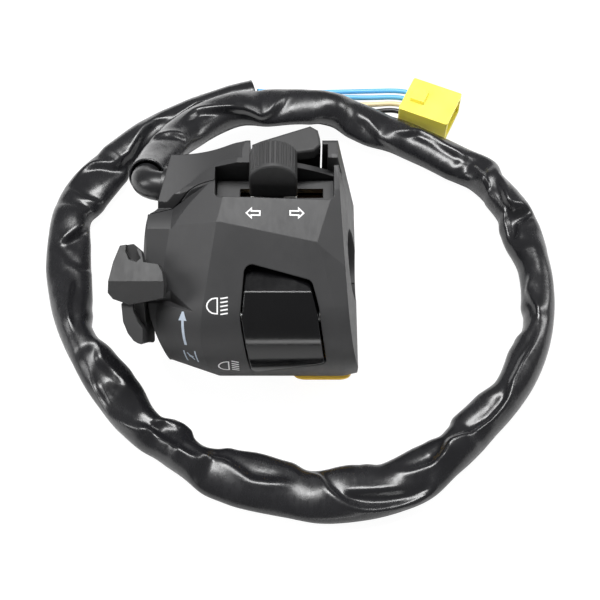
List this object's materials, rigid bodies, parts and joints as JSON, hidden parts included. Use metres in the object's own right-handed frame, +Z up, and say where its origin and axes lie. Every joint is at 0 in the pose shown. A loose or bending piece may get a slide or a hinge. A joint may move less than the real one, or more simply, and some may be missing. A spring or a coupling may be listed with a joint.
{
  "type": "motorcycle handlebar switch cluster",
  "caption": "Left-hand motorcycle handlebar switch housing with turn, dimmer, passing and horn controls, choke lever and plugged wiring harness",
  "frame": {"origin": "centre of the handlebar bore, 29.8 mm from the housing's left end", "axes": "+X along the handlebar away from the grip, +Z up, -Y towards the rider"},
  "size_m": [0.1671, 0.1646, 0.0627],
  "materials": {
    "satin_black": "satin moulded, light grain",
    "trigger_black": "satin moulded",
    "rocker_black": "glossy moulded",
    "horn_yellow": "semi-gloss moulded",
    "insulator": "moulded insulating board",
    "white_plastic": "natural low-friction plastic",
    "brass_contact": "stamped",
    "zinc_steel": "zinc plated",
    "black_rubber": "soft moulded",
    "sleeve_black": "soft glossy vinyl tube",
    "blue_wire": "wire insulation",
    "cream_wire": "wire insulation",
    "black_wire": "wire insulation",
    "plug_yellow": "semi-gloss moulded"
  },
  "bodies": {
    "housing": {"rear_housing": "satin_black", "front_housing": "satin_black", "housing_screws": "zinc_steel", "turn_contact_board": "insulator", "turn_fixed_contacts": "brass_contact", "turn_board_screws": "zinc_steel", "dimmer_pivot_pin": "zinc_steel", "dimmer_contact_board": "insulator", "dimmer_fixed_contacts": "brass_contact", "dimmer_board_screws": "zinc_steel", "pass_pivot_pin": "zinc_steel", "pass_spring": "zinc_steel", "pass_contact_base": "insulator", "pass_fixed_contact": "brass_contact", "horn_contact_base": "insulator", "horn_fixed_contacts": "brass_contact", "horn_base_screws": "zinc_steel", "horn_spring": "zinc_steel", "friction_washer": "zinc_steel", "cable_grommet": "black_rubber", "switch_leads": "black_wire", "harness_sleeve": "sleeve_black", "connector_housing": "plug_yellow", "connector_terminals": "brass_contact", "wires_blue": "blue_wire", "wire_cream": "cream_wire", "wire_black": "black_wire"},
    "turn_slide": {"turn_knob": "trigger_black", "turn_carriage": "white_plastic", "detent_ball": "zinc_steel", "detent_spring": "zinc_steel", "turn_bridge_contact": "brass_contact"},
    "dimmer": {"dimmer_rocker": "rocker_black", "dimmer_plunger": "white_plastic", "dimmer_spring": "zinc_steel", "dimmer_bridge_contact": "brass_contact"},
    "passing": {"pass_trigger": "trigger_black", "pass_moving_contact": "brass_contact"},
    "horn": {"horn_button": "horn_yellow", "horn_contact_disc": "brass_contact"},
    "choke": {"choke_lever": "trigger_black"}
  },
  "joints": [
    {"name": "turn_signal", "type": "slide", "parent": "housing", "child": "turn_slide", "axis": [1, 0, 0], "range_m": [-0.0065, 0.0065]},
    {"name": "dimmer_switch", "type": "hinge", "parent": "housing", "child": "dimmer", "pos_m": [0.01, -0.021, 0.0049], "axis": [1, 0, 0], "range_deg": [0, 10.5]},
    {"name": "passing_light", "type": "hinge", "parent": "housing", "child": "passing", "pos_m": [0.0036, 0.0232, 0.012], "axis": [0, 0, -1], "range_deg": [0, 7], "stiffness_Nm_per_rad": 0.05, "springref_deg": -5.73},
    {"name": "horn_press", "type": "slide", "parent": "housing", "child": "horn", "axis": [0, 0.7071, 0.7071], "range_m": [0, 0.0024], "stiffness_N_per_m": 400, "springref_m": -0.002, "deforming": ["horn_spring"]},
    {"name": "choke", "type": "hinge", "parent": "housing", "child": "choke", "pos_m": [-0.028, 0, 0], "axis": [-1, 0, 0], "range_deg": [0, 36]}
  ]
}
